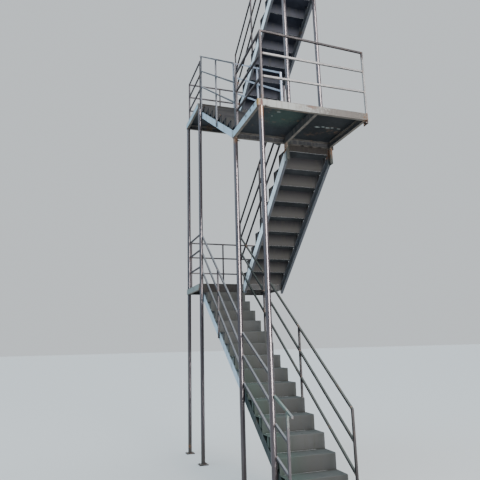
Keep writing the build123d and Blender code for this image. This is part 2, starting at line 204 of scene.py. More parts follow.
class Shader(Nodes):
    """A material whose colour, roughness and bump depend on the place on the stair."""

    def __init__(self, name):
        self.material = bpy.data.materials.new(name)
        self.material.use_nodes = True
        super().__init__(self.material.node_tree)
        self.surface = self.tree.nodes["Principled BSDF"]
        self.place = self.add("TexCoord").outputs["Object"]
        self.normal = self.add("NewGeometry").outputs["Normal"]

    def at(self, name):
        """The place on the stair along an axis."""
        return self.axis(self.place, name)

    def noise(self, scale, detail=4.0, roughness=0.55, where=None):
        inputs = {"Vector": where or self.place, "Scale": scale, "Detail": detail, "Roughness": roughness}
        return self.add("TexNoise", inputs).outputs[0]

    def stretched_noise(self, scale, detail=6.0):
        where = self.add("Mapping", {"Vector": self.place, "Scale": scale}).outputs[0]
        return self.noise(1.0, detail, 0.6, where)

    def mottled(self, a, b, scale, detail=6.0, roughness=0.55, low=0.35, high=0.65):
        """Two colours in soft patches."""
        return self.mix(self.between(self.noise(scale, detail, roughness), low, high), a, b)

    def away(self, value, middle):
        """How far a value is from a middle, on either side."""
        return self.maths("ABSOLUTE", self.maths("SUBTRACT", value, middle))

    def near(self, point, radius):
        """One at a point, falling to nothing at the radius."""
        gap = self.vector("DISTANCE", {0: self.place, 1: point}, "Value")
        return self.between(gap, radius, radius * 0.2)

    def upright(self):
        """One on upright faces and nothing on level ones."""
        return self.between(self.maths("ABSOLUTE", self.axis(self.normal, "Z")), 0.7, 0.3)

    def facing(self, name, sign, low=0.4, high=0.8):
        """One on faces that look along an axis, or against it with a sign of -1."""
        return self.between(self.maths("MULTIPLY", self.axis(self.normal, name), sign), low, high)

    def stain(self, point, radii):
        """One at a point, falling to nothing at the surface of an ellipsoid, with a ragged edge."""
        gap = self.vector("SUBTRACT", {0: self.place, 1: point})
        reach = self.vector("LENGTH", {0: self.vector("DIVIDE", {0: gap, 1: radii})}, "Value")
        ragged = self.between(self.noise(40.0, 4.0), 0.3, 0.7, -0.25, 0.25)
        return self.between(self.maths("ADD", reach, ragged), 1.0, 0.45)

    def stained(self, base, stains):
        for point, radii, colour in stains:
            base = self.mix(self.stain(point, radii), base, colour)
        return base

    def edges(self, radius):
        """One along sharp edges."""
        soft = self.add("Bevel", {"Radius": radius}, samples=4).outputs[0]
        return self.between(self.vector("DOT_PRODUCT", {0: soft, 1: self.normal}, "Value"), 0.995, 0.80)

    def runs(self, scale, high, most):
        """Rain streaks on upright faces."""
        streaks = self.between(self.stretched_noise(scale), 0.5, high, 0.0, most)
        return self.maths("MULTIPLY", streaks, self.upright())

    def finish(self, colour, roughness, height, metallic=0.0, strength=0.5, distance=0.002, gloss=0.5):
        self.put(self.surface.inputs["Base Color"], colour)
        self.surface.inputs["Specular IOR Level"].default_value = gloss
        self.put(self.surface.inputs["Roughness"], roughness)
        self.put(self.surface.inputs["Metallic"], metallic)
        bump = self.add("Bump", {"Strength": strength, "Distance": distance, "Height": height}).outputs[0]
        self.put(self.surface.inputs["Normal"], bump)
        return self.material


def rust_colour(shader):
    grain = shader.noise(55.0, 6.0, 0.7)
    deep = shader.mix(shader.between(grain, 0.35, 0.6), linear(58, 38, 28), linear(122, 78, 48))
    return shader.mix(shader.between(grain, 0.6, 0.78), deep, linear(176, 128, 82))


def weathered(shader, base, dirt, rust, spots, rough, streak=0.45, metallic=0.0, worn=None, gloss=0.5):
    """Specks, rain streaks, worn edges, and rust in patches and at given places, over a base colour."""
    specks = shader.between(shader.noise(70.0, 3.0), 0.55, 0.75, 0.0, 0.30)
    base = shader.mix(specks, base, dirt)
    base = shader.mix(shader.runs((18.0, 18.0, 1.1), 0.68, streak), base, dirt)
    edges = shader.edges(0.003)
    if worn:
        base = shader.mix(shader.maths("MULTIPLY", edges, 0.55), base, worn)
    fine = shader.maths("MULTIPLY", shader.noise(21.0, 6.0), 0.35)
    patch = shader.maths("ADD", shader.noise(2.6, 8.0, 0.68), fine)
    for point, radius, amount in spots:
        patch = shader.maths("ADD", patch, shader.maths("MULTIPLY", shader.near(point, radius), amount))
    patch = shader.maths("ADD", patch, shader.maths("MULTIPLY", edges, 0.10))
    limit = 0.92 - 0.14 * rust
    mask = shader.between(patch, limit, limit + 0.06)
    halo = shader.between(patch, limit - 0.09, limit + 0.02, 0.0, 0.40)
    base = shader.mix(halo, base, linear(112, 88, 68))
    final = shader.mix(mask, base, rust_colour(shader))
    uneven = shader.maths("ADD", shader.between(shader.noise(5.0, 5.0), 0.3, 0.7, -0.06, 0.10), rough)
    roughness = shader.add("Mix", {0: mask, 2: uneven, 3: 0.9}).outputs[0]
    flakes = shader.maths("MULTIPLY", mask, shader.noise(160.0, 4.0))
    height = shader.maths("ADD", shader.noise(420.0, 2.0), flakes)
    if metallic:
        metallic = shader.between(mask, 0.0, 1.0, metallic, 0.0)
    return shader.finish(final, roughness, height, metallic, strength=0.3, distance=0.0015, gloss=gloss)


def post_paint():
    """Glossy dark brown-grey pipe, browner and duller towards its foot."""
    shader = Shader("post_paint")
    tone = shader.between(shader.stretched_noise((6.0, 6.0, 0.7), 5.0), 0.38, 0.62)
    base = shader.mix(tone, linear(92, 84, 86), linear(76, 70, 74))
    base = shader.mix(shader.between(shader.at("Z"), 0.7, 0.0, 0.0, 0.7), base, linear(76, 68, 60))
    for point, radii in POST_STAINS:
        base = shader.mix(shader.times(shader.stain(point, radii), 0.8), base, linear(126, 92, 68))
    return weathered(shader, base, linear(66, 58, 56), 0.22, POST_SPOTS, 0.13, 0.2, 0.35)


def frame_paint():
    """Pale paint outside; inside the channels painted shade with dirt, lighter on the lower flanges."""
    shader = Shader("frame_paint")
    base = shader.mottled(linear(158, 158, 153), linear(146, 147, 143), 1.3)
    # Faces that look to the left take a bluish tint: painted light from the left.
    left = shader.facing("X", -1)
    base = shader.mix(shader.times(left, 0.85), base, linear(160, 184, 198))
    # Below about four metres those faces are painted a duller grey instead: painted shade.
    first_level = shader.between(shader.at("Z"), 4.5, 4.0)
    base = shader.mix(shader.times(left, first_level), base, linear(126, 132, 130))
    rear_front = shader.times(shader.facing("Y", -1), shader.between(shader.at("Y"), 3.0, 3.1))
    base = shader.mix(rear_front, base, linear(82, 82, 83))
    past_side = shader.between(shader.at("X"), SIDE_X + 0.001, SIDE_X + 0.004)
    inside = 0.0
    for middle, half in ((FRONT_MIDDLE, FRONT_HALF), (REAR_MIDDLE, REAR_HALF)):
        past_edges = shader.between(shader.away(shader.at("Y"), middle), half - 0.001, half - 0.004)
        inside = shader.maths("ADD", inside, shader.times(past_side, past_edges))
    # Inside the channels: painted shade with dirt, lighter on faces that look down.
    inside_shade_and_grime = shader.mottled(linear(56, 58, 62), linear(76, 76, 78), 4.0, 6.0, 0.65)
    below = shader.mottled(linear(110, 104, 97), linear(84, 80, 76), 9.0, 5.0)
    base = shader.mix(inside, base, shader.mix(shader.facing("Z", -1), inside_shade_and_grime, below))
    base = shader.stained(base, FRAME_STAINS_AND_SHADOWS)
    return weathered(shader, base, linear(112, 110, 102), 0.42, FRAME_SPOTS, 0.55, 0.5, gloss=0.1)


def stringer_paint():
    """Pale paint on the outer side of the webs; painted shade inside and below; dark at the first flight's
    foot; painted light on faces that look left, brightest as a painted highlight on the inner lane's left web.
    """
    shader = Shader("stringer_paint")
    x = shader.at("X")
    outer = 0.0
    for web in STRINGER_WEBS:
        outer = shader.maths("ADD", outer, shader.between(shader.away(x, web), 0.002, 0.0012))
    pale = shader.mottled(linear(186, 192, 190), linear(160, 168, 168), 1.6)
    # Painted shade inside the channels and below them, where the steps shade the webs.
    dull = shader.mottled(linear(74, 80, 88), linear(98, 102, 106), 5.0, 6.0, 0.6)
    dark = shader.mix(shader.facing("Z", -1, 0.3, 0.6), dull, linear(84, 86, 92))
    # Painted bluish light on faces that look to the left, and a near-white painted highlight along the inner
    # lane's left web.
    left = shader.facing("X", -1)
    inner_highlight_band = shader.times(shader.between(x, 0.875, 0.878), shader.between(x, 0.884, 0.882))
    pale = shader.mix(left, pale, linear(174, 190, 204))
    pale = shader.mix(shader.times(left, inner_highlight_band), pale, linear(236, 244, 250))
    base = shader.mix(outer, dark, pale)
    base = shader.mix(shader.facing("Z", 1, 0.3, 0.6), base, linear(150, 152, 148))
    base = shader.mix(shader.between(shader.at("Y"), 1.24, 1.10, 0.0, 0.95), base, linear(30, 37, 32))
    base = shader.stained(base, STRINGER_STAINS)
    return weathered(
        shader, base, linear(98, 98, 92), 0.42, STRINGER_SPOTS, 0.5, worn=linear(176, 176, 172), gloss=0.12)


def rail_paint(name, colour, shade, top, rough=0.45, metallic=0.1, corner=None):
    """Square tube with painted light on its upper side and painted shade on its underside, and a dark corner
    post and top rail if given a corner colour.
    """
    shader = Shader(name)
    base = shader.mottled(colour, shade, 1.8, 5.0, low=0.38, high=0.62)
    # Painted light on upward faces and painted shade on downward faces.
    base = shader.mix(shader.times(shader.facing("Z", 1, 0.3, 0.6), 0.7), base, top)
    base = shader.mix(shader.times(shader.facing("Z", -1, 0.3, 0.6), 0.6), base, linear(52, 50, 52))
    greenish = shader.stain((0.02, -0.25, 1.6), (0.12, 0.42, 0.5))
    base = shader.mix(shader.times(greenish, 0.6), base, linear(104, 124, 112))
    if corner:
        past_post = shader.between(shader.at("X"), 0.05, 0.07)
        lower = shader.times(past_post, shader.between(shader.at("Z"), F1 + 0.96, F1 + 0.90))
        base = shader.mix(lower, corner, base)
        high = shader.times(past_post, shader.between(shader.at("Z"), F1 + 0.96, F1 + 1.0))
        base = shader.mix(high, base, linear(38, 34, 36))
    return weathered(
        shader, base, linear(66, 62, 62), 0.42, RAIL_SPOTS, rough, 0.3, metallic, linear(108, 104, 103), 0.12)


def deck_plate():
    """Worn checker plate on top; nearly black below, painted shade with dirt, with green and lime blotches."""
    shader = Shader("deck_plate")
    base = shader.mottled(linear(112, 114, 112), linear(88, 90, 90), 3.0)
    # The underside: painted shade with dirt, nearly black.
    under = shader.mottled(linear(34, 38, 42), linear(50, 54, 58), 1.7, 6.0, 0.65)
    blotch = shader.stain((0.55, 0.42, F1), (0.40, 0.42, 0.05))
    under = shader.mix(shader.times(blotch, 0.5), under, linear(56, 76, 68))
    right_bay = shader.stain((1.36, 0.5, F1), (0.55, 0.75, 0.05))
    under = shader.mix(shader.times(right_bay, 0.7), under, linear(26, 28, 30))
    for x, y, size in LIME_SPOTS:
        spot = shader.stain((x, y, F1 - DECK), (size * 0.75, size * 0.4, 0.02))
        under = shader.mix(shader.times(spot, 0.7), under, linear(150, 156, 152))
    base = shader.mix(shader.facing("Z", -1), base, under)
    return weathered(shader, base, linear(62, 62, 58), 0.45, (), 0.6, gloss=0.15)


def step_plate(name, flight, tones):
    """Steps of one flight, each a little different, darker at the back of the tread, worn at the nose, with
    painted shade on the backs of the risers and below the treads.
    """
    front, back_lit, back_shaded, below, below_light = tones
    shader = Shader(name)
    climbed = shader.maths("MULTIPLY", shader.maths("SUBTRACT", shader.at("Y"), flight.start_y), flight.along)
    number = shader.maths("DIVIDE", shader.maths("ADD", climbed, 0.001), flight.going)
    share = shader.maths("FRACT", number)
    height = shader.maths("SUBTRACT", shader.at("Z"), flight.low + 0.0008)
    height = shader.maths("FRACT", shader.maths("DIVIDE", height, flight.rise))
    own = shader.add("TexWhiteNoise", {"W": shader.maths("FLOOR", number)}, noise_dimensions="1D").outputs[0]
    base = shader.mix(own, front, tuple(c * 0.78 for c in front[:3]) + (1.0,))
    tone = shader.between(shader.noise(2.4, 6.0, 0.6), 0.38, 0.66)
    base = shader.mix(shader.maths("MULTIPLY", tone, 0.4), base, linear(96, 94, 89))
    level = shader.facing("Z", 1)
    dust = shader.between(shader.noise(7.0, 7.0, 0.65), 0.42, 0.66, 0.55, 0.95)
    base = shader.mix(shader.maths("MULTIPLY", level, dust), base, linear(82, 84, 82))
    back = shader.maths("MULTIPLY", level, shader.between(share, 0.72, 0.97, 0.0, 0.75))
    base = shader.mix(back, base, linear(76, 73, 68))
    foot = shader.times(shader.facing("Y", -flight.along), shader.between(height, 0.10, 0.0), 0.7)
    base = shader.mix(foot, base, linear(82, 80, 76))
    # Backs of the risers: painted shade that darkens towards the tread above.
    behind = shader.mix(shader.between(height, 0.9, 0.25), back_shaded, back_lit)
    base = shader.mix(shader.facing("Y", flight.along), base, behind)
    # Undersides of the treads: painted shade with dirt.
    base = shader.mix(shader.facing("Z", -1), base, shader.mix(tone, below, below_light))
    last_low = flight.high - flight.rise
    last = shader.times(shader.between(shader.at("Z"), last_low + 0.001, last_low + 0.004), shader.upright())
    base = shader.mix(last, base, shader.mix(tone, linear(66, 62, 60), linear(84, 80, 78)))
    ends = shader.maths("ABSOLUTE", shader.axis(shader.normal, "X"))
    base = shader.mix(shader.between(ends, 0.4, 0.8), base, linear(92, 88, 88))
    base = shader.mix(shader.runs((22.0, 22.0, 2.2), 0.72, 0.35), base, linear(92, 90, 80))
    rubbed = shader.between(shader.noise(16.0), 0.4, 0.6, 0.2, 0.7)
    nose = shader.times(shader.edges(0.004), shader.facing("Z", 1, -0.4, 0.2), rubbed)
    base = shader.mix(nose, base, linear(122, 122, 118))
    at_left = shader.between(shader.at("X"), 0.45, 0.15)
    low_down = shader.between(shader.at("Z"), 2.3, 1.6, 0.0, 0.6)
    base = shader.mix(shader.times(at_left, low_down), base, linear(84, 96, 88))
    # The hole in a tread: a dark spot of painted shade.
    base = shader.mix(shader.near(TREAD_HOLE, 0.014), base, linear(24, 20, 18))
    fine = shader.maths("MULTIPLY", shader.noise(26.0, 5.0), 0.3)
    mask = shader.between(shader.maths("ADD", shader.noise(3.1, 8.0, 0.7), fine), 0.86, 0.91)
    base = shader.mix(mask, base, rust_colour(shader))
    roughness = shader.between(shader.noise(9.0), 0.3, 0.7, 0.6, 0.85)
    return shader.finish(base, roughness, shader.noise(330.0, 3.0), strength=0.4, gloss=0.0)


def bare_metal(name, colour, rust):
    shader = Shader(name)
    base = shader.mottled(colour, linear(96, 92, 86), 30.0, 5.0, low=0.4, high=0.6)
    mask = shader.between(shader.noise(18.0, 6.0, 0.7), 0.62 - 0.2 * rust, 0.72 - 0.2 * rust)
    base = shader.mix(mask, base, rust_colour(shader))
    roughness = shader.between(mask, 0.0, 1.0, 0.42, 0.9)
    return shader.finish(
        base, roughness, shader.noise(500.0, 3.0), metallic=0.35, strength=0.4, distance=0.001)


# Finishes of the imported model's nodes
finishes = {
    "post": post_paint(),
    "frame": frame_paint(),
    "stringer": stringer_paint(),
    # The railing's one paint in lit and shaded copies: the first front landing's front railing and the third
    # flight's railings are painted lighter as painted light, the palest on the third flight's right side, and
    # the first flight's right railing darker as painted shade.
    "railing": rail_paint("railing_paint", linear(74, 70, 74), linear(58, 55, 58), linear(140, 140, 142)),
    "front_railing": rail_paint(
        "front_railing_lit_paint", linear(146, 144, 142), linear(124, 122, 122), linear(160, 160, 158),
        0.5, 0.05, linear(64, 58, 59)),
    "lane_railing": rail_paint(
        "flight_1_right_shaded_paint", linear(46, 44, 45), linear(38, 36, 37), linear(88, 92, 86)),
    "outer_railing": rail_paint(
        "flight_3_left_lit_paint", linear(82, 86, 92), linear(66, 69, 75), linear(142, 145, 148)),
    "sky_lit_railing": rail_paint(
        "flight_3_right_sky_lit_paint", linear(176, 184, 200), linear(150, 156, 170), linear(176, 180, 188)),
    "deck": deck_plate(),
    "bolt": bare_metal("bolt_steel", linear(150, 148, 144), 0.6),
    "weld": bare_metal("weld_bead", linear(112, 106, 100), 0.9),
}

# Each flight's risers in front, their backs near the foot and near the top, and two tones below the treads; the
# backs' two tones make a painted shade under the tread above, and the tones below the treads are painted shade
# with dirt.
STEP_TONES = {
    "flight_1": (
        linear(104, 103, 101), linear(92, 92, 92), linear(60, 60, 62),
        linear(40, 42, 50), linear(56, 58, 66)),
    "flight_2": (
        linear(112, 112, 109), linear(96, 93, 91), linear(66, 64, 66),
        linear(56, 57, 59), linear(70, 71, 73)),
    # The third flight's riser fronts are painted darker: painted shade.
    "flight_3": (
        linear(80, 78, 80), linear(84, 80, 82), linear(58, 56, 60),
        linear(40, 42, 50), linear(56, 58, 66)),
    "flight_4": (
        linear(110, 110, 108), linear(96, 96, 104), linear(50, 52, 60),
        linear(40, 42, 50), linear(56, 58, 66)),
}
for name, flight in FLIGHTS.items():
    finishes[name] = step_plate(name + "_plate", flight, STEP_TONES[name])

OWN_FINISH = {
    "front_landing_1_front_railing": "front_railing",
    "flight_1_right_railing": "lane_railing",
    "flight_3_left_railing": "outer_railing",
    "flight_3_right_railing": "sky_lit_railing",
}


def finish_of(name):
    if name in OWN_FINISH:
        return OWN_FINISH[name]
    kind = name.split("_")[-1]
    if kind == "steps":
        return name.removesuffix("_steps")
    return kind if kind in finishes else "frame"


for name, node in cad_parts.items():
    node.data.materials.clear()
    node.data.materials.append(finishes[finish_of(name)])


# Small pieces gathered into one mesh

class Pile:
    """Meshes added one after another and made into one object that rides on the frame."""

    def __init__(self):
        self.points = []
        self.faces = []

    def add(self, points, faces, matrix=None):
        base = len(self.points)
        self.points.extend(tuple(matrix @ Vector(p)) if matrix else tuple(p) for p in points)
        self.faces.extend(tuple(base + i for i in face) for face in faces)

    def make(self, name, material, smooth=False):
        mesh = bpy.data.meshes.new(name)
        mesh.from_pydata(self.points, [], self.faces)
        mesh.update()
        if smooth:
            mesh.shade_smooth()
        mesh.materials.append(material)
        made = bpy.data.objects.new(name, mesh)
        bpy.context.scene.collection.objects.link(made)
        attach(made, "root")


def ring(radius, z, count):
    step = 2 * math.pi / count
    return [(radius * math.cos(step * i), radius * math.sin(step * i), z) for i in range(count)]


def stack(rings):
    """A closed solid through rings of equal count, capped at both ends."""
    count = len(rings[0])
    points = [p for one in rings for p in one]
    faces = [tuple(range(count - 1, -1, -1))]
    for level in range(len(rings) - 1):
        low = level * count
        for i in range(count):
            after = (i + 1) % count
            faces.append((low + i, low + after, low + count + after, low + count + i))
    faces.append(tuple(range(len(points) - count, len(points))))
    return points, faces


# Checker pattern on treads and decks
LOZENGE_POINTS = (
    (1, 0, 0), (0.35, 1, 0), (-0.35, 1, 0), (-1, 0, 0), (-0.35, -1, 0), (0.35, -1, 0),
    (0.45, 0, 1), (-0.45, 0, 1))
LOZENGE_FACES = ((0, 1, 6), (1, 2, 7, 6), (2, 3, 7), (3, 4, 7), (4, 5, 6, 7), (5, 0, 6))
LOZENGE_PITCH = 0.033
LOZENGE_SIZE = Matrix.Diagonal((LOZENGE_PITCH * 0.46, LOZENGE_PITCH * 0.15, 0.0016, 1.0))
LOZENGE_TURNS = [Matrix.Rotation(math.radians(angle), 4, "Z") @ LOZENGE_SIZE for angle in (45, -45)]
CHECKER_EDGE = 0.015


def checker(pile, x0, x1, y0, y1, z, keep=None):
    """Raised lozenges in turned pairs over a level plate."""
    columns = int((x1 - x0 - 2 * CHECKER_EDGE) / LOZENGE_PITCH)
    rows = int((y1 - y0 - 2 * CHECKER_EDGE) / LOZENGE_PITCH)
    for i in range(columns + 1):
        x = (x0 + x1) / 2 + (i - columns / 2) * LOZENGE_PITCH
        for j in range(rows + 1):
            y = (y0 + y1) / 2 + (j - rows / 2) * LOZENGE_PITCH
            if keep is None or keep(x, y):
                matrix = Matrix.Translation((x, y, z)) @ LOZENGE_TURNS[(i + j) % 2]
                pile.add(LOZENGE_POINTS, LOZENGE_FACES, matrix)


def clear_of_posts(x, y):
    return all(math.hypot(x, y - post) > 0.06 for post in POSTS_Y[2:])


for name, flight in FLIGHTS.items():
    pile = Pile()
    for number in range(1, flight.risers):
        near = flight.y(flight.going * (number - 1))
        y0, y1 = sorted((near, near + flight.along * flight.going))
        checker(pile, flight.left, flight.right, y0, y1, flight.low + flight.rise * number)
    pile.make(name + "_checker", finishes[name])
for name, (level, x0, y0, y1) in LANDINGS.items():
    pile = Pile()
    checker(pile, x0, WALL_X, y0, y1, level, clear_of_posts if name == "rear_landing_1" else None)
    pile.make(name + "_checker", finishes["deck"])


# Bolts
random.seed(11)

# Washer, chamfered hexagon and stud: the count of sides, and each ring's radius and height for a size of 1
BOLT_PROFILES = (
    (18, ((0.95, 0.0), (0.95, 0.16), (0.88, 0.2))),
    (6, ((0.8, 0.2), (0.8, 0.85), (0.66, 0.95))),
    (12, ((0.42, 0.95), (0.42, 1.3), (0.34, 1.4))),
)
UP = (0, 0, 1)
TO_SIDE = (-1, 0, 0)


def put_bolt(pile, place, direction, size):
    """A bolt standing on a surface, at a random turn."""
    turn = Vector(UP).rotation_difference(Vector(direction)).to_matrix().to_4x4()
    matrix = Matrix.Translation(place) @ turn @ Matrix.Rotation(random.random(), 4, "Z")
    for count, profile in BOLT_PROFILES:
        points, faces = stack([ring(size * radius, size * z, count) for radius, z in profile])
        pile.add(points, faces, matrix)


bolts = Pile()
for y in POSTS_Y:
    for dx in (-0.06, 0.06):
        for dy in (-0.06, 0.06):
            put_bolt(bolts, (dx, y + dy, PLATE_TOP), UP, 0.012)
for x in UPPER_POSTS_X:
    for dx in (-0.052, 0.052):
        for dy in (-0.026, 0.026):
            put_bolt(bolts, (x + dx, UPPER_POST_Y + dy, F1 + PLATE_TOP), UP, 0.009)
for level, x0, y0, y1 in LANDINGS.values():
    for y in (y0 + 0.025, y0 + 0.095, y1 - 0.095, y1 - 0.025):
        put_bolt(bolts, (WALL_FACE, y, level - DECK - 0.134), TO_SIDE, 0.012)
BRACKET_FOOT = F2 - DECK - BEAM - 0.700
BRACKET_TALL = F2 - 0.165 - BRACKET_FOOT
for share in (0.12, 0.5, 0.88):
    put_bolt(bolts, (WALL_FACE, FRONT_Y0 + 0.025, BRACKET_FOOT + share * BRACKET_TALL), TO_SIDE, 0.011)
for y, z in SIDE_BOLTS:
    put_bolt(bolts, (SIDE_X, y, z), TO_SIDE, 0.011)
for flight in FLIGHTS.values():
    for web, out in ((flight.left, -1), (flight.right, 1)):
        if web != INNER_LANE[1]:
            for drop in (0.150, 0.205):
                put_bolt(bolts, (web, flight.y(flight.run + 0.050), flight.high - drop), (out, 0, 0), 0.010)
        if flight.low == 0.0:
            for dy in (0.06, 0.14):
                put_bolt(bolts, (web - out * 0.068, flight.y(dy), 0.010), UP, 0.010)
bolts.make("bolts", finishes["bolt"])


# Welds
BEAD_SIDES = 6
BEAD_STEP = 0.008
WELD_GAP = 0.002


def bead(pile, path, plane, radius=0.0032, closed=True):
    """A rippled weld along a path that lies in the plane with the given normal."""
    plane = Vector(plane)
    points, faces = [], []
    count = len(path)
    for i, place in enumerate(path):
        after = path[(i + 1) % count] if closed or i + 1 < count else place
        before = path[i - 1] if closed or i else place
        across = (Vector(after) - Vector(before)).cross(plane).normalized()
        size = radius * random.uniform(0.75, 1.2)
        if not closed and i in (0, count - 1):
            size *= 0.35
        for k in range(BEAD_SIDES):
            turned = 2 * math.pi * k / BEAD_SIDES
            point = Vector(place) + size * (math.cos(turned) * across + math.sin(turned) * plane)
            points.append((min(point.x, WALL_X), point.y, point.z))
    for i in range(count if closed else count - 1):
        low, high = i * BEAD_SIDES, (i + 1) % count * BEAD_SIDES
        for k in range(BEAD_SIDES):
            after = (k + 1) % BEAD_SIDES
            faces.append((low + k, low + after, high + after, high + k))
    if not closed:
        faces.append(tuple(range(BEAD_SIDES - 1, -1, -1)))
        faces.append(tuple(range((count - 1) * BEAD_SIDES, count * BEAD_SIDES)))
    pile.add(points, faces)


def loop(half_wide, half_tall, cut=0.003):
    """Points round a rectangle with cut corners, anticlockwise from its lower right one."""
    w, t = half_wide, half_tall
    corners = [
        (w, cut - t), (w, t - cut), (w - cut, t), (cut - w, t),
        (-w, t - cut), (-w, cut - t), (cut - w, -t), (w - cut, -t)]
    points = []
    for (a, b), (c, d) in zip(corners, corners[1:] + corners[:1]):
        parts = max(1, round(math.hypot(c - a, d - b) / BEAD_STEP))
        points.extend((a + (c - a) * i / parts, b + (d - b) * i / parts) for i in range(parts))
    return points


def line_weld(pile, start, end, plane, radius):
    start, end = Vector(start), Vector(end)
    parts = max(3, round((end - start).length / BEAD_STEP))
    bead(pile, [start.lerp(end, i / parts) for i in range(parts + 1)], plane, radius, False)


def ring_weld(pile, x, y, z):
    bead(pile, [(x + px, y + py, z) for px, py, pz in ring(POST_RADIUS + 0.001, 0, 40)], UP, 0.004)


class Panel:
    """A railing panel in a plane: rails as lines, and thin and round posts as places along it."""

    def __init__(self, along, middle, rails, posts, feet=None, rounds=()):
        self.along = along
        self.middle = middle
        self.rails = rails
        self.posts = posts
        self.feet = feet
        self.rounds = rounds

    def point(self, s, wide, z):
        return (s, self.middle + wide, z) if self.along == "X" else (self.middle + wide, s, z)

    def weld(self, pile):
        plane = (1, 0, 0) if self.along == "X" else (0, 1, 0)
        for s0, z0, s1, z1 in self.rails:
            slope = (z1 - z0) / (s1 - s0)
            section = loop(RAIL_HALF, RAIL_HALF * math.sqrt(1 + slope * slope))
            low, high = sorted((s0, s1))
            for post in self.posts:
                for face in (post - RAIL_HALF, post + RAIL_HALF):
                    if low + 0.002 < face < high - 0.002:
                        z = z0 + (face - s0) * slope
                        bead(pile, [self.point(face, w, z + t) for w, t in section], plane)
            for post, side in self.rounds:
                path = []
                for w, t in section:
                    face = post + side * math.sqrt(max(POST_RADIUS ** 2 - (self.middle + w) ** 2, 0.0))
                    path.append(self.point(face, w, z0 + (face - s0) * slope + t))
                bead(pile, path, plane)
        for post, foot in zip(self.posts, self.feet or ()):
            path = [self.point(post + t, w, foot) for w, t in loop(RAIL_HALF, RAIL_HALF)]
            bead(pile, path, UP, 0.0036)


LANDING_RAILS = (0.364, 0.714, 1.040)
FLIGHT_RAILS = (0.310, 0.650, 1.000)
CORNER_LIFTS = (0.0, 0.020, 0.060)
POST_ON_TREAD = 0.85
NEWEL_BEFORE = 0.175
NEWEL_AFTER = 0.060


def landing_panel(along, middle, s0, s1, posts, level, lifts=(0, 0, 0)):
    rails = [(s0, level + h + lift, s1, level + h) for h, lift in zip(LANDING_RAILS, lifts)]
    return Panel(along, middle, rails, posts, [level] * len(posts))


def flight_panel(flight, middle, start, end, places, lifts, feet=True, rounds=()):
    """A panel on a flight: start, end and places are distances climbed, and lifts each rail's ends."""
    slope = flight.rise / flight.going
    rails = []
    for height, (first, last) in zip(FLIGHT_RAILS, lifts):
        z0 = flight.low + flight.rise + start * slope + height + first
        z1 = flight.low + flight.rise + end * slope + height + last
        rails.append((flight.y(start), z0, flight.y(end), z1))
    floors = None
    if feet:
        steps = [min(max(math.floor(d / flight.going) + 1, 0), flight.risers) for d in places]
        floors = [flight.low + flight.rise * step for step in steps]
    return Panel("Y", middle, rails, [flight.y(d) for d in places], floors, rounds)


def newel_panel(flight, middle, treads, lifts, low_newel=True):
    """A panel with posts on treads, a newel past its upper end and, if asked, one before its foot."""
    places = [(number - POST_ON_TREAD) * flight.going for number in treads]
    if low_newel:
        places.insert(0, -NEWEL_BEFORE)
    places.append(flight.run + NEWEL_AFTER)
    return flight_panel(flight, middle, places[0] - RAIL_HALF, places[-1] + RAIL_HALF, places, lifts)


OUTER_RAIL_X = OUTER_LANE[0] - RAIL_HALF
RIGHT_RAIL_X = OUTER_LANE[1] - 0.002 - RAIL_HALF
LEFT_RAIL_X = INNER_X + 0.002 + RAIL_HALF
FRONT_RAIL_Y = -0.006
CORNER_X = 0.01035
CORNER_POST_X = CORNER_X + RAIL_HALF
MIDDLE_X = 0.773 + RAIL_HALF
END_X = WALL_X - RAIL_HALF
panels = {
    "rear_landing_1_side": landing_panel("Y", OUTER_RAIL_X, 3.5334, 4.5316, (3.5474, 4.5176), R1),
    "rear_landing_1_end": landing_panel("X", 4.570, 0.0384, WALL_X, (0.0524, MIDDLE_X, END_X), R1),
    "front_landing_1_side": landing_panel("Y", OUTER_RAIL_X, 0.008, 1.132, (0.022, 1.118), F1, CORNER_LIFTS),
    "front_landing_1_front": landing_panel(
        "X", FRONT_RAIL_Y, CORNER_X, WALL_X, (CORNER_POST_X, END_X), F1, CORNER_LIFTS),
    "rear_landing_2_side": landing_panel("Y", OUTER_RAIL_X, 3.523, 4.562, (3.537, 4.548), R2),
    "rear_landing_2_end": landing_panel("X", 4.576, CORNER_X, WALL_X, (CORNER_POST_X, MIDDLE_X, END_X), R2),
    "front_landing_2_side": landing_panel("Y", LEFT_RAIL_X, 0.008, 1.106, (0.022,), F2),
    "front_landing_2_front": landing_panel(
        "X", FRONT_RAIL_Y, INNER_X, WALL_X, (INNER_X + RAIL_HALF, END_X), F2),
}

# The first flight's outer panels: ends, posts, lifts of the rails' ends, and the round posts that they meet
OUTER_PANELS = {
    "flight_1_upper": (
        1.182, 3.473, (2.412,), ((-0.245, -0.081), (-0.273, -0.042), (-0.201, -0.036)),
        ((POSTS_Y[1], 1), (POSTS_Y[2], -1))),
    "flight_1_middle": (
        0.022, 1.138, (), ((-0.160, -0.378), (-0.137, -0.320), (-0.135, -0.341)),
        ((POSTS_Y[0], 1), (POSTS_Y[1], -1))),
    "flight_1_lower": (
        -0.414, -0.022, (-0.400,), ((-0.211, -0.344), (-0.180, -0.302), (-0.179, -0.313)),
        ((POSTS_Y[0], -1),)),
}
first = FLIGHTS["flight_1"]
for name, (y0, y1, posts, lifts, rounds) in OUTER_PANELS.items():
    start, end, *places = (y - first.start_y for y in (y0, y1, *posts))
    panels[name] = flight_panel(first, OUTER_RAIL_X, start, end, places, lifts, False, rounds)
panels["flight_1_right"] = newel_panel(
    first, RIGHT_RAIL_X, (2, 7, 12), ((-0.103, 0.034), (-0.078, 0.080), (-0.059, 0.053)), False)
panels["flight_2_left"] = newel_panel(
    FLIGHTS["flight_2"], LEFT_RAIL_X, (5,), ((0.155, -0.185), (0.254, -0.221), (0.246, -0.135)))
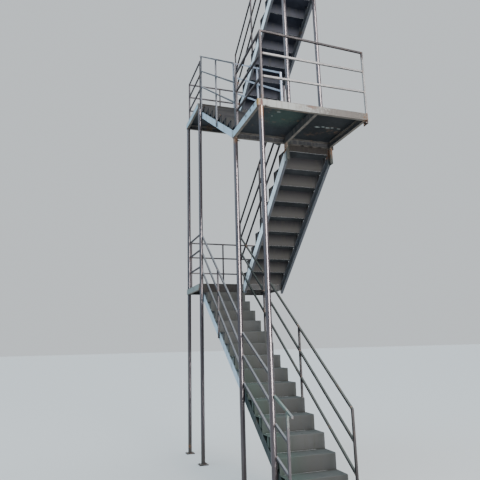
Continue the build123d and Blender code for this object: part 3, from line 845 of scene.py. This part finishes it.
panels["flight_3_left"] = newel_panel(
    FLIGHTS["flight_3"], OUTER_RAIL_X, (4,), ((0.040, 0.092), (0.070, 0.124), (0.081, 0.129)))
panels["flight_3_right"] = newel_panel(
    FLIGHTS["flight_3"], RIGHT_RAIL_X, (4,), ((0.041, 0.060), (0.050, 0.105), (0.044, 0.095)))
panels["flight_4_left"] = newel_panel(
    FLIGHTS["flight_4"], LEFT_RAIL_X, (4,), ((0.181, 0.051), (0.277, 0.071), (0.343, 0.089)))
for name, panel in panels.items():
    pile = Pile()
    panel.weld(pile)
    pile.make(name + "_welds", finishes["weld"], smooth=True)

# Welds of the posts, the landings and the stringers' upper ends
STITCH = 0.04
STITCH_PITCH = 0.22
ALONG_X, ALONG_Y = (1, 0, 0), (0, 1, 0)
pile = Pile()
for y in POSTS_Y:
    ring_weld(pile, 0.0, y, PLATE_TOP)
for y, level in zip(POSTS_Y, (F1, F1, R2, R2)):
    ring_weld(pile, 0.0, y, level - DECK - BEAM - WELD_GAP)
for x in UPPER_POSTS_X:
    ring_weld(pile, x, UPPER_POST_Y, F1 + PLATE_TOP)
    ring_weld(pile, x, UPPER_POST_Y, F2 - DECK - BEAM - WELD_GAP)
for level, x0, y0, y1 in LANDINGS.values():
    top = level - DECK
    for y, out in ((y0, -1), (y1, 1)):
        at_wall = y + out * 0.001
        line_weld(pile, (WALL_FACE, at_wall, top - BEAM), (WALL_FACE, at_wall, top - 0.004), ALONG_Y, 0.003)
        edge = y + out * 0.0005
        x = x0 + 0.12
        while x < WALL_FACE - 0.1:
            line_weld(pile, (x, edge, top), (x + STITCH, edge, top), ALONG_Y, 0.0028)
            x += STITCH_PITCH
    edge = x0 - 0.0005
    y = y0 + 0.1
    while y < y1 - 0.1:
        line_weld(pile, (edge, y, top), (edge, y + STITCH, top), ALONG_X, 0.0028)
        y += STITCH_PITCH
for flight in FLIGHTS.values():
    z = flight.high - DECK - BEAM - WELD_GAP
    end_y = flight.y(flight.run)
    for web, out in ((flight.left, -1), (flight.right, 1)):
        if web != INNER_LANE[1]:
            start, end = ((web + out * 0.001, end_y + flight.along * d, z) for d in (0.003, 0.097))
            line_weld(pile, start, end, ALONG_X, 0.0035)
pile.make("frame_welds", finishes["weld"], smooth=True)

# Camera
YAW, PITCH, ROLL = math.radians(19.0), math.radians(12.04), -0.0265
CAMERA_PLACE = (-2.434, -6.001, 2.150)
ahead = Vector((math.sin(YAW) * math.cos(PITCH), math.cos(YAW) * math.cos(PITCH), math.sin(PITCH)))
level_right = Vector((math.cos(YAW), -math.sin(YAW), 0.0))
level_up = level_right.cross(ahead)
right = level_right * math.cos(ROLL) + level_up * math.sin(ROLL)
up = level_up * math.cos(ROLL) - level_right * math.sin(ROLL)
camera = bpy.data.objects.new("camera", bpy.data.cameras.new("camera"))
turned = Matrix((right, up, -ahead)).transposed().to_4x4()
camera.matrix_world = Matrix.Translation(CAMERA_PLACE) @ turned
camera.data.lens = 36.92
camera.data.clip_end = 200.0
bpy.context.scene.collection.objects.link(camera)
bpy.context.scene.camera = camera

# Floor
FLOOR_HALF = 300
floor_mesh = bpy.data.meshes.new("floor")
corners = [(FLOOR_HALF * x, FLOOR_HALF * y, 0) for x, y in ((-1, -1), (1, -1), (1, 1), (-1, 1))]
floor_mesh.from_pydata(corners, [], [(0, 1, 2, 3)])
floor = bpy.data.objects.new("floor", floor_mesh)
bpy.context.scene.collection.objects.link(floor)
plain = bpy.data.materials.new("floor")
plain.use_nodes = True
surface = plain.node_tree.nodes["Principled BSDF"]
surface.inputs["Base Color"].default_value = (0.62, 0.61, 0.59, 1.0)
surface.inputs["Roughness"].default_value = 0.9
surface.inputs["Specular IOR Level"].default_value = 0.0
floor_mesh.materials.append(plain)

# Light from all round: a soft sky, a bluish softbox on the left, and weak ones behind, on the right and above
world = bpy.data.worlds.new("studio")
world.use_nodes = True
studio = Nodes(world.node_tree)
background = world.node_tree.nodes["Background"]
direction = studio.add("TexCoord").outputs["Generated"]
azimuth_of_ray = studio.maths("ARCTAN2", studio.axis(direction, "X"), studio.axis(direction, "Y"))
height_of_ray = studio.axis(direction, "Z")


def tinted(strength, colour):
    return studio.vector("SCALE", {0: colour, "Scale": strength})


def softbox(azimuth, half_width, low, high, strength, colour, soft):
    """Light from a range of azimuths and heights, with soft sides."""
    gap = studio.maths("ABSOLUTE", studio.maths("SUBTRACT", azimuth_of_ray, math.radians(azimuth)))
    width = math.radians(half_width)
    wide = studio.between(gap, width, width * (1 - soft))
    above = studio.between(height_of_ray, low, low + 0.12)
    under = studio.between(height_of_ray, high, high - 0.12)
    return tinted(studio.times(wide, above, under, strength), colour)


light = tinted(studio.between(height_of_ray, 0.2, 1.0, 0.16, 1.5), (0.80, 0.90, 1.0))
for box in (
        softbox(-95, 60, 0.0, 1.1, 1.7, (0.52, 0.80, 1.0), 0.6),
        softbox(-150, 26, 0.05, 0.9, 0.5, (1.0, 0.97, 0.93), 0.6),
        softbox(50, 65, 0.15, 1.1, 0.5, (1.0, 0.98, 0.94), 0.6),
        softbox(50, 100, 0.40, 1.2, 0.7, (1.0, 0.98, 0.96), 0.4)):
    light = studio.vector("ADD", {0: light, 1: box})
seen = studio.add("LightPath").outputs["Is Camera Ray"]
studio.put(background.inputs["Color"], studio.mix(seen, light, (0.705, 0.75, 0.78, 1.0)))
background.inputs["Strength"].default_value = 1.0
bpy.context.scene.world = world


def strip(name, x, y, width, low, high, radiance, colour):
    """A tall strip of light that faces the stair."""
    lamp = bpy.data.lights.new(name, "AREA")
    lamp.shape = "RECTANGLE"
    lamp.size = width
    lamp.size_y = high - low
    lamp.energy = radiance * math.pi * lamp.size * lamp.size_y
    lamp.color = colour
    made = bpy.data.objects.new(name, lamp)
    place = Vector((x, y, (low + high) / 2))
    facing = (Vector((0.6, 1.5, place.z)) - place).normalized()
    upwards = Vector(UP)
    turned = Matrix((facing.cross(upwards), upwards, -facing)).transposed().to_4x4()
    made.matrix_world = Matrix.Translation(place) @ turned
    made.visible_camera = False
    bpy.context.scene.collection.objects.link(made)
    return made


# A wide front light, and a stronger one that only shows as a gleam down the posts
strip("front", 1.4, -6.6, 2.4, 2.0, 15.0, 7.3, (1.0, 0.96, 0.93))
gleam = strip("gleam", 2.0, -5.8, 3.2, 0.0, 17.0, 40.0, (1.0, 0.95, 0.94))
gleam.visible_diffuse = False
